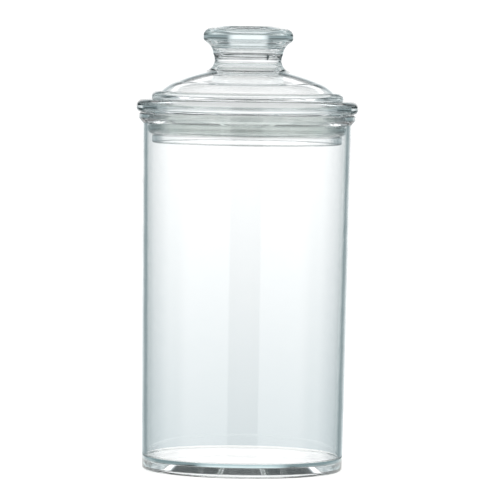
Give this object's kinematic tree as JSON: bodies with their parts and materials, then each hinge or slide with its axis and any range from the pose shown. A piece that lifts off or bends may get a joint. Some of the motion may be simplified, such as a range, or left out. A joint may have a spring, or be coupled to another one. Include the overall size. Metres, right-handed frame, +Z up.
{
  "type": "specimen jar",
  "caption": "Clear moulded cylindrical display jar with a footed base, a rolled rim and a domed lift-off lid that has a hollow knob and a soft seal ring round its skirt.",
  "frame": {"origin": "centre of the foot ring's resting plane", "axes": "+Z up along the jar's axis, -Y towards the viewer, +X to the viewer's right"},
  "size_m": [0.1148, 0.1148, 0.2299],
  "materials": {
    "clear_acrylic": "polished clear",
    "soft_seal": "satin translucent"
  },
  "bodies": {
    "jar": {"jar_body": "clear_acrylic"},
    "seal": {"seal_ring": "soft_seal"},
    "lid": {"lid_shell": "clear_acrylic", "knob_cap": "clear_acrylic"}
  },
  "joints": [
    {"name": "lid_lift", "type": "slide", "parent": "jar", "child": "seal", "axis": [0, 0, 1], "range_m": [0, 0.12]},
    {"name": "lid_turn", "type": "hinge", "parent": "seal", "child": "lid", "pos_m": [0, 0, 0.1849], "axis": [0, 0, 1], "continuous": true}
  ]
}
